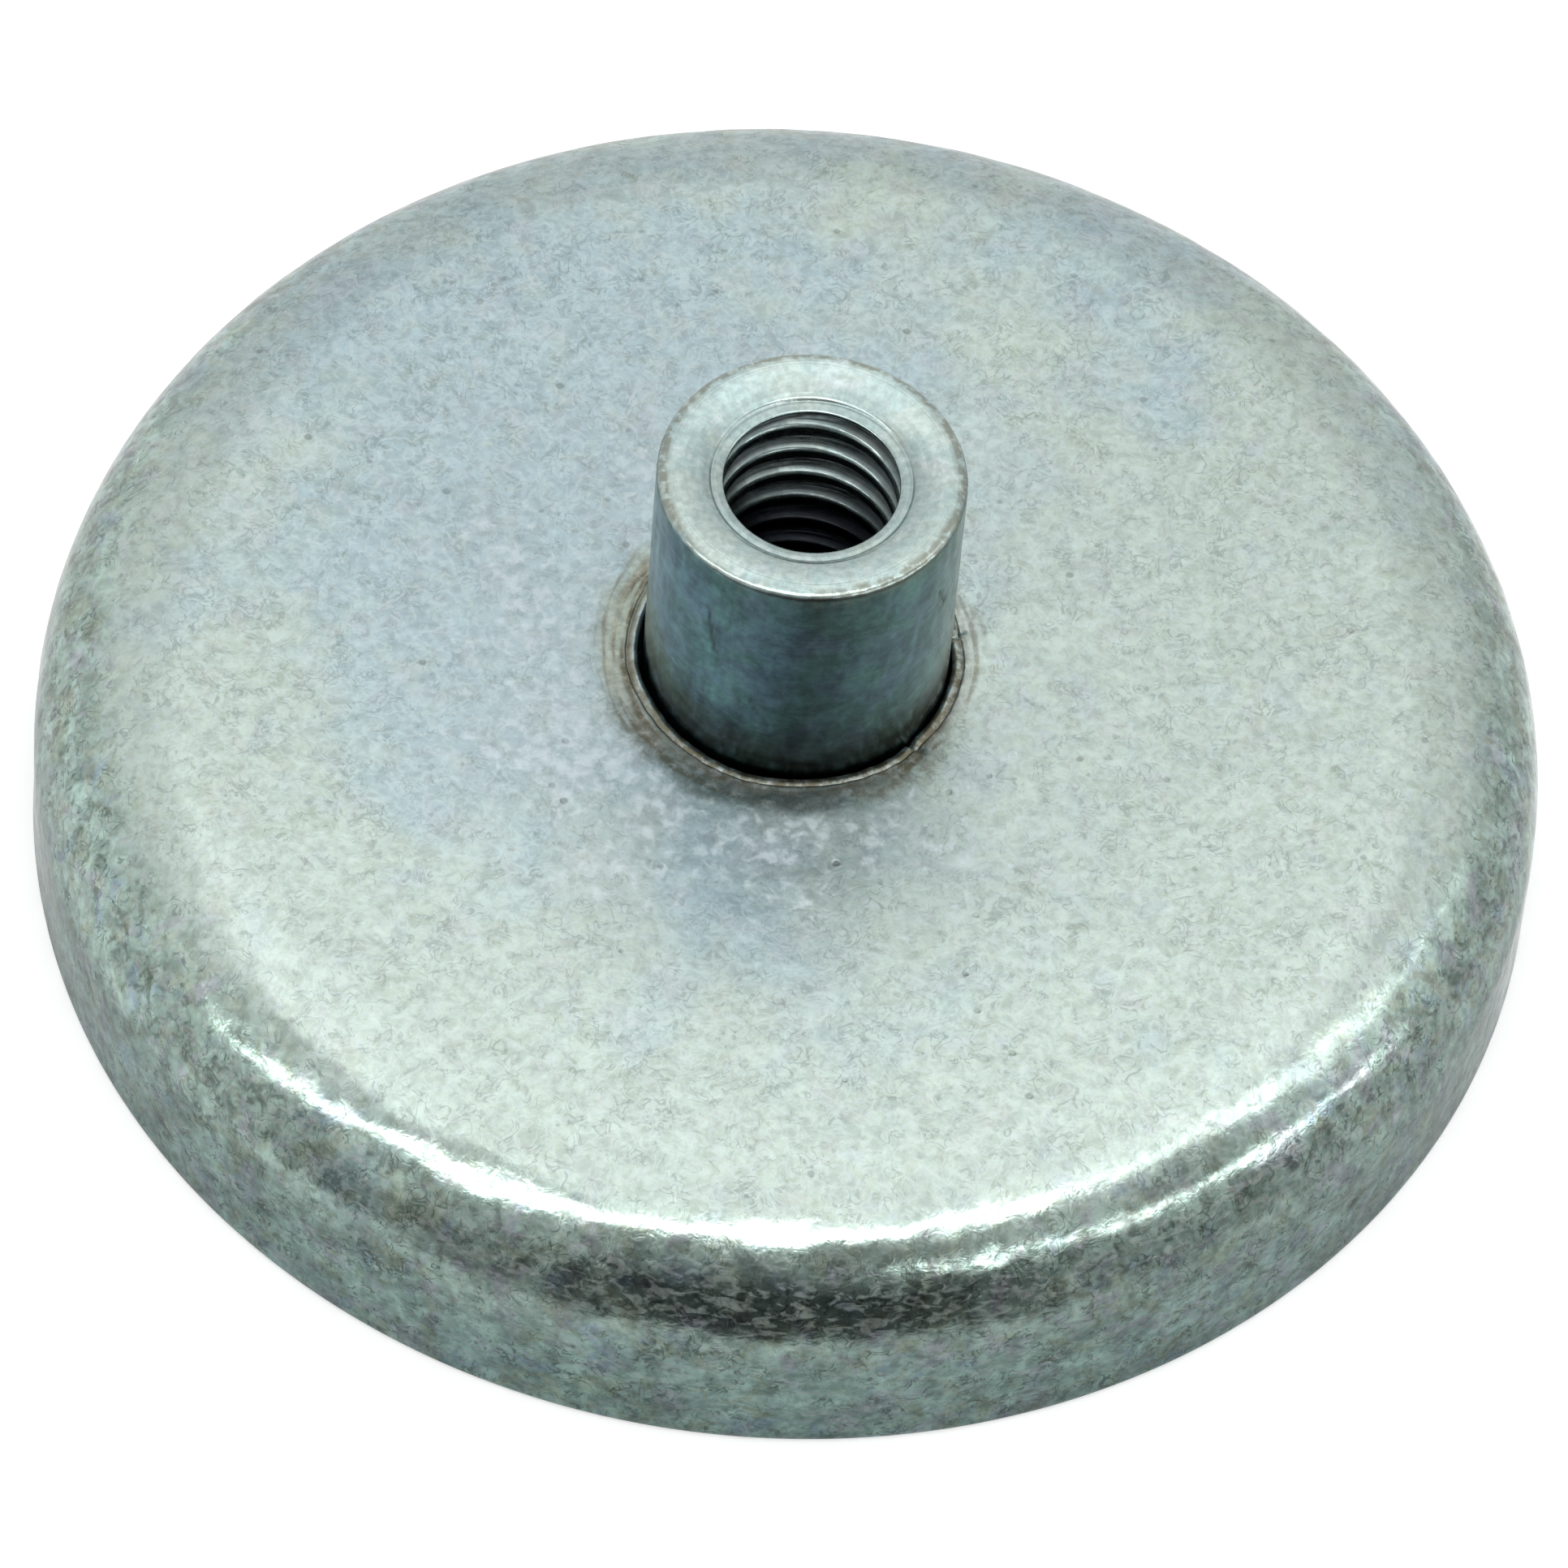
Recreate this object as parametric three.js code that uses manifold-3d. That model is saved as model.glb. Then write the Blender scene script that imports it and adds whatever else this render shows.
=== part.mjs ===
// A magnet fishing magnet: a stamped steel cup holding a potted ring magnet, with a threaded
// bushing through its back that takes an eye bolt. Millimetres. The origin is the centre of the
// working face, and +Z runs along the bushing, out of the back of the cup.

import * as THREE from 'three';
import { mergeVertices } from 'three/addons/utils/BufferGeometryUtils.js';
import Module from 'manifold-3d';

const wasm = await Module();
wasm.setup();

// Driving dimensions.
const CUP_DIAMETER = 57;
const CUP_HEIGHT = 10.5;
const SHEET = 2; // thickness of the cup's steel
const SHOULDER_RADIUS = 6; // outside bend between the wall and the back
const HOLE_DIAMETER = 12; // clearance hole in the back for the bushing
const COIN_DIAMETER = 14.8; // ring pressed flat around the hole
const COIN_DEPTH = 0.1;
const LIP_WIDTH = 0.4; // burr thrown up along the hole's edge
const LIP_RISE = 0.06;
const LIP_CREST = { from: 0.12, to: 0.24 }; // top of the burr, out from the hole's edge

const NECK_DIAMETER = 11.5;
const NECK_HEIGHT = 10.9; // from the back of the cup to the bushing's top
const RIM_WIDTH = 0.7; // flat rim of the bushing's top, with its broken edge
const DISH_DEPTH = 0.45; // the top falls from the rim to the thread's mouth
const MOUTH = { width: 0.45, depth: 0.15 }; // edge rolled over where the thread starts
const FOOT_DIAMETER = 16; // foot under the back, which is also the centre pole
const THREAD_MAJOR = 7.938; // 5/16-18 UNC
const THREAD_PITCH = 25.4 / 18;
const THREAD_MINOR = 6.53;
const THREAD_DEPTH = 13.8; // full thread, measured from the bushing's top
const DRILL_DEPTH = 15.4;
const DRILL_POINT_ANGLE = THREE.MathUtils.degToRad(118);
const FIRST_GROOVE = THREAD_PITCH; // below the bushing's top
const CUTTER_OVERLAP = 0.17; // the thread cutter's inner face, inside the bore
const RUN_OUT_START = 0.2; // steps' worth of depth that a groove's end starts with

const MAGNET_OUTER = 49;
const MAGNET_INNER = 22;
const MAGNET_BEVEL = 1.2; // clears the bend inside the cup
const BOND_FILM = 0.2; // glue between the magnet and the cup
const FACE_RECESS = 0.25; // magnet and centre pole below the cup's rim
const RESIN_RECESS = 0.4; // potting resin below the cup's rim
const RESIN_FIT = 0.05; // keeps the resin rings clear of what they fill

const EDGE = 0.3; // broken edges
const CUP_SEGMENTS = 72;
const BUSHING_SEGMENTS = 32;
const SHOULDER_STEPS = 9;
const BEND_STEPS = 7;
const RESIN_BEND_STEPS = 4;

// Levels and radii worked out from them.
const cupRadius = CUP_DIAMETER / 2;
const bendCentre = { r: cupRadius - SHOULDER_RADIUS, z: CUP_HEIGHT - SHOULDER_RADIUS };
const floorLevel = CUP_HEIGHT - SHEET; // underside of the back
const boreRadius = cupRadius - SHEET;
const innerBend = SHOULDER_RADIUS - SHEET;
const topLevel = CUP_HEIGHT + NECK_HEIGHT;
const magnetTop = floorLevel - BOND_FILM;
const minorRadius = THREAD_MINOR / 2;
const majorRadius = THREAD_MAJOR / 2;

/** Profile points of an arc about (centre.r, centre.z), angles in degrees from the +r direction. */
function arc(centre, radius, from, to, steps = BEND_STEPS) {
  return Array.from({ length: steps + 1 }, (_, i) => {
    const angle = THREE.MathUtils.degToRad(from + ((to - from) * i) / steps);
    return [centre.r + radius * Math.cos(angle), centre.z + radius * Math.sin(angle)];
  });
}

/** Solid of revolution about +Z. The profile runs anticlockwise in (r, z), closed or axis to axis. */
function turned(profile, segments) {
  const onAxis = profile[0][0] === 0;
  const outline = onAxis ? profile : [...profile, profile[0]];
  const points = outline.map(([r, z]) => new THREE.Vector2(r, z));
  return new THREE.LatheGeometry(points, segments).rotateX(Math.PI / 2);
}

function cupGeometry() {
  const hole = HOLE_DIAMETER / 2;
  const coin = COIN_DIAMETER / 2;
  const coinLevel = CUP_HEIGHT - COIN_DEPTH;
  const lipLevel = CUP_HEIGHT + LIP_RISE;
  return turned([
    [cupRadius - EDGE, 0],
    [cupRadius, EDGE],
    ...arc(bendCentre, SHOULDER_RADIUS, 0, 90, SHOULDER_STEPS),
    [coin, CUP_HEIGHT],
    [coin - COIN_DEPTH, coinLevel],
    [hole + LIP_WIDTH, coinLevel],
    [hole + LIP_CREST.to, lipLevel],
    [hole + LIP_CREST.from, lipLevel],
    [hole, coinLevel],
    [hole, floorLevel + EDGE],
    [hole + EDGE, floorLevel],
    ...arc(bendCentre, innerBend, 90, 0),
    [boreRadius, EDGE],
    [boreRadius + EDGE, 0],
  ], CUP_SEGMENTS);
}

function bushingBlank() {
  const foot = FOOT_DIAMETER / 2;
  const neck = NECK_DIAMETER / 2;
  const dishLevel = topLevel - DISH_DEPTH;
  const boreEnd = topLevel - DRILL_DEPTH;
  const drillPoint = minorRadius / Math.tan(DRILL_POINT_ANGLE / 2);
  return turned([
    [0, FACE_RECESS],
    [foot - EDGE, FACE_RECESS],
    [foot, FACE_RECESS + EDGE],
    [foot, floorLevel - EDGE],
    [foot - EDGE, floorLevel],
    [neck, floorLevel],
    [neck, topLevel - EDGE],
    [neck - EDGE, topLevel],
    [neck - RIM_WIDTH, topLevel],
    [minorRadius + MOUTH.width, dishLevel],
    [minorRadius, dishLevel - MOUTH.depth],
    [minorRadius, boreEnd],
    [0, boreEnd - drillPoint],
  ], BUSHING_SEGMENTS);
}

/** Closed helical bar with the section of the thread's groove, running out at both ends. */
function threadCutter() {
  const inside = minorRadius - CUTTER_OVERLAP;
  const rootFlat = THREAD_PITCH / 8;
  const flank = Math.tan(Math.PI / 6);
  const mouthHalf = rootFlat / 2 + (majorRadius - inside) * flank;
  const top = topLevel - FIRST_GROOVE;
  const turns = (THREAD_DEPTH - FIRST_GROOVE) / THREAD_PITCH;
  const steps = Math.round(turns * BUSHING_SEGMENTS);
  const runOut = BUSHING_SEGMENTS / 4; // steps over which the groove deepens

  const positions = [];
  for (let i = 0; i <= steps; i++) {
    const angle = -(2 * Math.PI * i) / BUSHING_SEGMENTS;
    const middle = top - (THREAD_PITCH * i) / BUSHING_SEGMENTS;
    const depth = Math.min(1, (Math.min(i, steps - i) + RUN_OUT_START) / runOut);
    const root = inside + (majorRadius - inside) * depth;
    const section = [
      [inside, -mouthHalf],
      [root, -rootFlat / 2],
      [root, rootFlat / 2],
      [inside, mouthHalf],
    ];
    for (const [r, dz] of section) {
      positions.push(r * Math.cos(angle), r * Math.sin(angle), middle + dz);
    }
  }

  const index = [0, 2, 1, 0, 3, 2];
  const last = 4 * steps;
  index.push(last, last + 1, last + 2, last, last + 2, last + 3);
  for (let i = 0; i < steps; i++) {
    for (let k = 0; k < 4; k++) {
      const a = 4 * i + k;
      const b = 4 * i + ((k + 1) % 4);
      index.push(a, b, b + 4, a, b + 4, a + 4);
    }
  }
  const geometry = new THREE.BufferGeometry();
  geometry.setAttribute('position', new THREE.Float32BufferAttribute(positions, 3));
  geometry.setIndex(index);
  return geometry;
}

function toSolid(geometry) {
  const bare = geometry.clone();
  bare.deleteAttribute('normal');
  bare.deleteAttribute('uv');
  const merged = mergeVertices(bare);
  return new wasm.Manifold(new wasm.Mesh({
    numProp: 3,
    vertProperties: new Float32Array(merged.attributes.position.array),
    triVerts: new Uint32Array(merged.index.array),
  }));
}

function fromSolid(solid) {
  const { vertProperties, triVerts } = solid.getMesh();
  const geometry = new THREE.BufferGeometry();
  geometry.setAttribute('position', new THREE.BufferAttribute(vertProperties, 3));
  geometry.setIndex(new THREE.BufferAttribute(triVerts, 1));
  return geometry;
}

function bushingGeometry() {
  return fromSolid(toSolid(bushingBlank()).subtract(toSolid(threadCutter())));
}

function magnetGeometry() {
  const outer = MAGNET_OUTER / 2;
  const inner = MAGNET_INNER / 2;
  return turned([
    [inner + EDGE, FACE_RECESS],
    [outer - EDGE, FACE_RECESS],
    [outer, FACE_RECESS + EDGE],
    [outer, magnetTop - MAGNET_BEVEL],
    [outer - MAGNET_BEVEL, magnetTop],
    [inner + EDGE, magnetTop],
    [inner, magnetTop - EDGE],
    [inner, FACE_RECESS + EDGE],
  ], CUP_SEGMENTS);
}

function bondGeometry() {
  const inner = MAGNET_INNER / 2 + 2 * EDGE; // the film stops short of the magnet's edges
  const outer = bendCentre.r - 2 * EDGE;
  return turned([
    [inner, magnetTop],
    [outer, magnetTop],
    [outer, floorLevel],
    [inner, floorLevel],
  ], CUP_SEGMENTS);
}

/** Resin between the magnet and the cup's wall, up into the bend. */
function outerResinGeometry() {
  const inner = MAGNET_OUTER / 2 + RESIN_FIT;
  const wall = boreRadius - RESIN_FIT;
  return turned([
    [inner, RESIN_RECESS],
    [wall, RESIN_RECESS],
    ...arc(bendCentre, innerBend - RESIN_FIT, 0, 45, RESIN_BEND_STEPS),
    [inner, magnetTop - MAGNET_BEVEL - 2 * RESIN_FIT],
  ], CUP_SEGMENTS);
}

/** Resin between the bushing's foot and the magnet. */
function innerResinGeometry() {
  const inner = FOOT_DIAMETER / 2 + RESIN_FIT;
  const outer = MAGNET_INNER / 2 - RESIN_FIT;
  return turned([
    [inner, RESIN_RECESS],
    [outer, RESIN_RECESS],
    [outer, floorLevel - RESIN_FIT],
    [inner, floorLevel - RESIN_FIT],
  ], CUP_SEGMENTS);
}

const zincPlate = { color: 0xb9cbca, roughness: 0.38, metalness: 1 };
const turnedZinc = { color: 0xa9bcc0, roughness: 0.3, metalness: 1 };
const ferrite = { color: 0x2f3133, roughness: 0.7, metalness: 0.1 };
const resin = { color: 0x6d6a5c, roughness: 0.45, metalness: 0 };

function piece(name, geometry, finish) {
  const mesh = new THREE.Mesh(geometry, new THREE.MeshStandardMaterial(finish));
  mesh.name = name;
  return mesh;
}

const group = new THREE.Group();
group.add(
  piece('steel_cup', cupGeometry(), zincPlate),
  piece('threaded_bushing', bushingGeometry(), turnedZinc),
  piece('ring_magnet', magnetGeometry(), ferrite),
  piece('bond_film', bondGeometry(), resin),
  piece('outer_potting_ring', outerResinGeometry(), resin),
  piece('inner_potting_ring', innerResinGeometry(), resin),
);

export default group;
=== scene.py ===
"""The magnet fishing magnet: a zinc-plated pot magnet with a threaded bushing, on a pale floor."""

import math

import bmesh
import bpy
import numpy as np
from mathutils import Matrix, Vector, noise


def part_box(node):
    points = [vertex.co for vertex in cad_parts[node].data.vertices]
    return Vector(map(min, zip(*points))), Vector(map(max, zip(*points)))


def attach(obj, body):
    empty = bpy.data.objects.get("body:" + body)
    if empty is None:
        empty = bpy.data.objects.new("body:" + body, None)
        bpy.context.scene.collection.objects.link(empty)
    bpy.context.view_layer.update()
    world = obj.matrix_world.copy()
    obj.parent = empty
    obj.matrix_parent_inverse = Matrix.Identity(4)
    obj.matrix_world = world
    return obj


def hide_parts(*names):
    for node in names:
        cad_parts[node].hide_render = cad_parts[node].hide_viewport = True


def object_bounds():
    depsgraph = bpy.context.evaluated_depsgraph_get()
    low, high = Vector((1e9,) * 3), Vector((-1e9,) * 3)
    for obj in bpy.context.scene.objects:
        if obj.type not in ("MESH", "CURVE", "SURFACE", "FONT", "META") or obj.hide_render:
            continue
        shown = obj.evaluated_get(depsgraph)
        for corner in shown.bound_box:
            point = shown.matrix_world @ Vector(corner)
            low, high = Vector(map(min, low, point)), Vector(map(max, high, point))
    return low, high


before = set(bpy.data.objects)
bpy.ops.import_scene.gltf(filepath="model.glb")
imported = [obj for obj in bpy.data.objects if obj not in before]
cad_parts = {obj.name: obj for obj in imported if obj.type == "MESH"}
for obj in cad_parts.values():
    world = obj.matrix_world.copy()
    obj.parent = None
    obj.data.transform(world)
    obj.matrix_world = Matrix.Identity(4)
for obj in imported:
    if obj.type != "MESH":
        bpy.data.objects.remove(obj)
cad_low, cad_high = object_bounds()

MM = 0.001

# -------------------- sizes, from the frame
_, cup_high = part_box("steel_cup")
bushing_low, bushing_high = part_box("threaded_bushing")
magnet_low, magnet_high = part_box("ring_magnet")
outer_low, outer_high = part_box("outer_potting_ring")
inner_low, inner_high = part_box("inner_potting_ring")
_, film_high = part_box("bond_film")

CUP_R = cup_high.x
LIP_TOP = cup_high.z
FLOOR_UNDER_BACK = film_high.z
SHEET = 2.0 * MM
BACK = FLOOR_UNDER_BACK + SHEET
BEND_R = 6.0 * MM
BEND_CENTRE_R = CUP_R - BEND_R
BEND_CENTRE_Z = BACK - BEND_R
BORE_R = CUP_R - SHEET
HOLE_R = 6.0 * MM
COIN_R = 7.4 * MM  # the widest place of the ring pressed round the hole
COIN_DEPTH = 0.1 * MM
LIP_WIDTH = 0.4 * MM
EDGE = 0.3 * MM  # broken edges of the cup, the foot and the magnet

FOOT_R = bushing_high.x
NECK_R = 5.75 * MM
TOP = bushing_high.z
POLE_FACE = bushing_low.z
THREAD_MINOR_R = 3.265 * MM
THREAD_MAJOR_R = 3.969 * MM
THREAD_PITCH = 25.4 / 18 * MM
RIM_WIDTH = 0.7 * MM  # flat rim of the bushing's top, with its worn edge
DISH_DEPTH = 0.45 * MM  # the top falls from the rim to the thread's mouth
MOUTH_WIDTH = 0.45 * MM
MOUTH_DEPTH = 0.15 * MM
THREAD_DEPTH = 13.8 * MM
DRILL_DEPTH = 15.4 * MM

MAGNET_R = magnet_high.x
MAGNET_HOLE_R = 11.0 * MM
MAGNET_BEVEL = 1.2 * MM
RESIN_FIT = 0.05 * MM  # keeps the resin rings clear of what they fill


# -------------------- numbers over a surface
def smoothstep(low, high, value):
    t = np.clip((value - low) / (high - low), 0.0, 1.0)
    return t * t * (3.0 - 2.0 * t)


def bell(distance, width):
    """1 at no distance, fading evenly both ways."""
    return np.exp(-((distance / width) ** 2))


def ripple(theta, along, wavelength, seed, count=24):
    """Smooth noise of about unit height that closes round the axis. along is in metres."""
    rng = np.random.default_rng(seed)
    total = np.zeros(np.broadcast(theta, along).shape)
    for _ in range(count):
        heading = rng.uniform(0.0, 2.0 * math.pi)
        wave = 2.0 * math.pi / (wavelength * rng.uniform(0.75, 1.5))
        turns = round(wave * math.cos(heading) * CUP_R)
        phase = rng.uniform(0.0, 2.0 * math.pi)
        total += np.cos(turns * theta + wave * math.sin(heading) * along + phase)
    return total * math.sqrt(2.0 / count)


def mottle(points, size, offset, octaves=3):
    """Fractal noise of about -1 to 1 at each point, with blotches of the given size in metres."""
    shift = Vector((offset, 0.37 * offset, 1.7))
    flat = points.reshape(-1, 3)
    values = [noise.fractal(Vector(p) / size + shift, 1.0, 2.0, octaves) for p in flat]
    return np.array(values).reshape(points.shape[:-1])


def bearing(degrees):
    """Angle about the axis of a place given clockwise from the front, which is -Y."""
    return math.radians(degrees - 90.0)


def turn_gap(theta, centre):
    """Signed angle from centre, wrapped to -pi to pi."""
    return (theta - centre + math.pi) % (2.0 * math.pi) - math.pi


def near_bearing(theta, degrees, width):
    """1 at the bearing, fading over the width, which is in radians."""
    return bell(turn_gap(theta, bearing(degrees)), width)


# -------------------- meshes
def arc(centre_r, centre_z, radius, start, end, steps):
    angles = np.radians(np.linspace(start, end, steps + 1))
    return [(centre_r + radius * math.cos(a), centre_z + radius * math.sin(a)) for a in angles]


def line(r0, z0, r1, z1, steps):
    """Points from the first end up to, but not including, the last."""
    return [(r0 + (r1 - r0) * i / steps, z0 + (z1 - z0) * i / steps) for i in range(steps)]


def grid(profile, columns):
    """The profile's radius and height, and the angle, as arrays of rows by columns."""
    r, z = np.array(profile).T
    theta = np.linspace(0.0, 2.0 * math.pi, columns, endpoint=False)
    shape = np.ones((len(r), columns))
    return r[:, None] * shape, z[:, None] * shape, theta[None, :] * shape


def place(r, z, theta):
    return np.stack([r * np.cos(theta), r * np.sin(theta), z], axis=-1)


def ring_faces(rows, columns, closed):
    """Quads between neighbouring rows, whose normals point out for an anticlockwise profile."""
    last = rows if closed else rows - 1
    i, j = np.meshgrid(np.arange(last), np.arange(columns), indexing="ij")
    k, m = (i + 1) % rows, (j + 1) % columns
    quads = np.stack([i * columns + j, i * columns + m, k * columns + m, k * columns + j], axis=-1)
    return quads.reshape(-1, 4).tolist()


def new_piece(name, points, faces, material, weld=0.0):
    mesh = bpy.data.meshes.new(name)
    mesh.from_pydata(points.reshape(-1, 3).tolist(), [], faces)
    if weld:
        bm = bmesh.new()
        bm.from_mesh(mesh)
        bmesh.ops.remove_doubles(bm, verts=bm.verts, dist=weld)
        bm.to_mesh(mesh)
        bm.free()
    mesh.materials.append(material)
    mesh.shade_smooth()
    piece = bpy.data.objects.new(name, mesh)
    bpy.context.scene.collection.objects.link(piece)
    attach(piece, "root")
    return piece


def store(piece, name, values):
    """A number for each vertex, which a material reads by name."""
    layer = piece.data.attributes.new(name, "FLOAT", "POINT")
    layer.data.foreach_set("value", values.reshape(-1).astype(np.float32))


# -------------------- materials
class Graph:
    """Short calls that add nodes to a node tree and join them."""

    def __init__(self, tree):
        self.tree = tree
        tree.nodes.clear()

    def add(self, kind, **settings):
        node = self.tree.nodes.new(kind)
        for key, value in settings.items():
            setattr(node, key, value)
        return node

    def feed(self, socket, value):
        if isinstance(value, bpy.types.NodeSocket):
            self.tree.links.new(value, socket)
        else:
            socket.default_value = value

    def math(self, operation, a, b=0.0, clamp=False):
        node = self.add("ShaderNodeMath", operation=operation, use_clamp=clamp)
        self.feed(node.inputs[0], a)
        self.feed(node.inputs[1], b)
        return node.outputs[0]

    def times(self, a, b, clamp=False):
        return self.math("MULTIPLY", a, b, clamp)

    def plus(self, a, b, clamp=False):
        return self.math("ADD", a, b, clamp)

    def off(self, value, middle):
        """How far value is from middle."""
        return self.math("ABSOLUTE", self.math("SUBTRACT", value, middle))

    def off_axis(self, x, y):
        """Distance from the axis."""
        return self.math("SQRT", self.plus(self.times(x, x), self.times(y, y)))

    def span(self, value, low, high, start=0.0, end=1.0, smooth=True):
        """value from low to high becomes start to end, held at the ends."""
        kind = "SMOOTHSTEP" if smooth else "LINEAR"
        node = self.add("ShaderNodeMapRange", interpolation_type=kind)
        for socket, number in zip(node.inputs[:5], (value, low, high, start, end)):
            self.feed(socket, number)
        return node.outputs[0]

    def mix(self, share, a, b, blend="MIX"):
        node = self.add("ShaderNodeMix", data_type="RGBA", blend_type=blend)
        for index, value in ((0, share), (6, a), (7, b)):
            self.feed(node.inputs[index], value)
        return node.outputs[2]

    def tint(self, colour, tone, share=None):
        """colour times tone, in full or by a share."""
        tinted = self.mix(1.0, colour, tone, "MULTIPLY")
        return tinted if share is None else self.mix(share, colour, tinted)

    def shade(self, colour, value):
        """colour times a number."""
        return self.tint(colour, self.grey(value))

    def grey(self, value):
        return self.join(value, value, value)

    def blend(self, share, a, b):
        """a becomes b as share goes from 0 to 1."""
        node = self.add("ShaderNodeMix", data_type="FLOAT")
        for index, value in ((0, share), (2, a), (3, b)):
            self.feed(node.inputs[index], value)
        return node.outputs[0]

    def noise(self, place, size, detail=2.0, roughness=0.5, distortion=0.0):
        """Noise of 0 to 1 with features of the given size in metres."""
        node = self.add("ShaderNodeTexNoise")
        self.feed(node.inputs["Vector"], place)
        names = ("Scale", "Detail", "Roughness", "Distortion")
        for name, value in zip(names, (1.0 / size, detail, roughness, distortion)):
            self.feed(node.inputs[name], value)
        return node.outputs["Fac"]

    def cells(self, place, size):
        """Distance from the nearest of scattered points."""
        node = self.add("ShaderNodeTexVoronoi", feature="F1")
        self.feed(node.inputs["Vector"], place)
        self.feed(node.inputs["Scale"], 1.0 / size)
        return node.outputs["Distance"]

    def where(self):
        return self.add("ShaderNodeTexCoord").outputs["Object"]

    def stretched(self, place, scale):
        node = self.add("ShaderNodeMapping")
        self.feed(node.inputs["Vector"], place)
        self.feed(node.inputs["Scale"], scale)
        return node.outputs[0]

    def split(self, vector):
        node = self.add("ShaderNodeSeparateXYZ")
        self.feed(node.inputs[0], vector)
        return node.outputs

    def join(self, x, y, z):
        node = self.add("ShaderNodeCombineXYZ")
        for socket, value in zip(node.inputs, (x, y, z)):
            self.feed(socket, value)
        return node.outputs[0]

    def attribute(self, name):
        return self.add("ShaderNodeAttribute", attribute_name=name).outputs["Fac"]

    def bump(self, height, depth, normal=None):
        """depth is the height, in metres, of a step from 0 to 1."""
        node = self.add("ShaderNodeBump")
        self.feed(node.inputs["Height"], height)
        self.feed(node.inputs["Distance"], depth)
        if normal is not None:
            self.feed(node.inputs["Normal"], normal)
        return node.outputs[0]

    def shader(self, colour, roughness, normal, metallic=0.0, **sockets):
        node = self.add("ShaderNodeBsdfPrincipled")
        self.feed(node.inputs["Base Color"], colour)
        self.feed(node.inputs["Roughness"], roughness)
        self.feed(node.inputs["Metallic"], metallic)
        self.feed(node.inputs["Normal"], normal)
        for name, value in sockets.items():
            self.feed(node.inputs[name.replace("_", " ")], value)
        out = self.add("ShaderNodeOutputMaterial")
        self.tree.links.new(node.outputs[0], out.inputs["Surface"])


def material(name):
    made = bpy.data.materials.new(name)
    made.use_nodes = True
    return made, Graph(made.node_tree)


ZINC_BLUE = (0.475, 0.615, 0.655, 1.0)
ZINC_GREEN = (0.572, 0.685, 0.618, 1.0)
ZINC_PINK = (0.595, 0.590, 0.630, 1.0)
ZINC_SLATE = (0.470, 0.560, 0.640, 1.0)
ZINC_OLIVE = (0.520, 0.560, 0.430, 1.0)
ZINC_WHITE = (0.760, 0.860, 0.910, 1.0)
PALE_CURL = (0.68, 0.79, 0.79, 1.0)
WORM_ON_BACK = (0.20, 0.25, 0.24, 1.0)
WORM_ON_WALL = (0.13, 0.165, 0.15, 1.0)
DARK_SPOT = (0.14, 0.16, 0.14, 1.0)
DARK_SPECK = (0.14, 0.16, 0.15, 1.0)
DARK_KNOCK = (0.085, 0.105, 0.085, 1.0)
DULL_SKIN = (0.390, 0.375, 0.370, 1.0)
DULL_UNDER_HAZE = (0.440, 0.520, 0.560, 1.0)
STAIN_BROWN = (0.200, 0.190, 0.135, 1.0)
STAIN_TEAL = (0.120, 0.170, 0.170, 1.0)
WALL_TINT = (0.87, 0.98, 0.965, 1.0)
LOW_TINT = (0.88, 0.98, 0.99, 1.0)
COIN_KHAKI = (0.385, 0.430, 0.335, 1.0)
COIN_PINK = (0.430, 0.405, 0.375, 1.0)

NECK_BLUE = (0.124, 0.187, 0.228, 1.0)
NECK_GREEN = (0.115, 0.203, 0.202, 1.0)
FACE_BLUE = (0.505, 0.650, 0.640, 1.0)
FACE_GREEN = (0.568, 0.678, 0.637, 1.0)
FACE_WHITE = (0.74, 0.82, 0.83, 1.0)
SCORE_DARK = (0.03, 0.05, 0.05, 1.0)
BORE_SHADE = (0.006, 0.007, 0.009, 1.0)

FERRITE_DARK = (0.034, 0.035, 0.038, 1.0)
FERRITE_LIGHT = (0.062, 0.062, 0.064, 1.0)
GRINDING_LINE = (0.13, 0.13, 0.135, 1.0)
BROWN_DUST = (0.16, 0.14, 0.12, 1.0)
RESIN_DARK = (0.17, 0.16, 0.135, 1.0)
RESIN_LIGHT = (0.25, 0.235, 0.195, 1.0)
RESIN_FILLER = (0.4, 0.39, 0.34, 1.0)


def zinc_hues(g, place, wear):
    """Passivated zinc: patches of faint green, blue, pink and olive, stronger where it was drawn."""
    patches = g.noise(place, 5.0 * MM, 3.0, 0.6)
    warm = g.plus(g.attribute("warm"), g.times(g.math("SUBTRACT", patches, 0.5), 1.7))
    colour = g.mix(g.span(warm, 0.1, 0.9), ZINC_BLUE, ZINC_GREEN)
    hue = g.blend(wear, 0.26, 0.95)
    for tone, size, detail, distortion, low, high, share in (
        (ZINC_PINK, 1.5 * MM, 3.0, 0.6, 0.52, 0.66, hue),
        (ZINC_SLATE, 1.9 * MM, 3.0, 0.4, 0.55, 0.70, hue),
        (ZINC_OLIVE, 1.2 * MM, 4.0, 0.5, 0.52, 0.64, g.times(hue, 0.8)),
    ):
        patch = g.span(g.noise(place, size, detail, 0.6, distortion), low, high)
        colour = g.mix(g.times(patch, share), colour, tone)
    return colour


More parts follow.
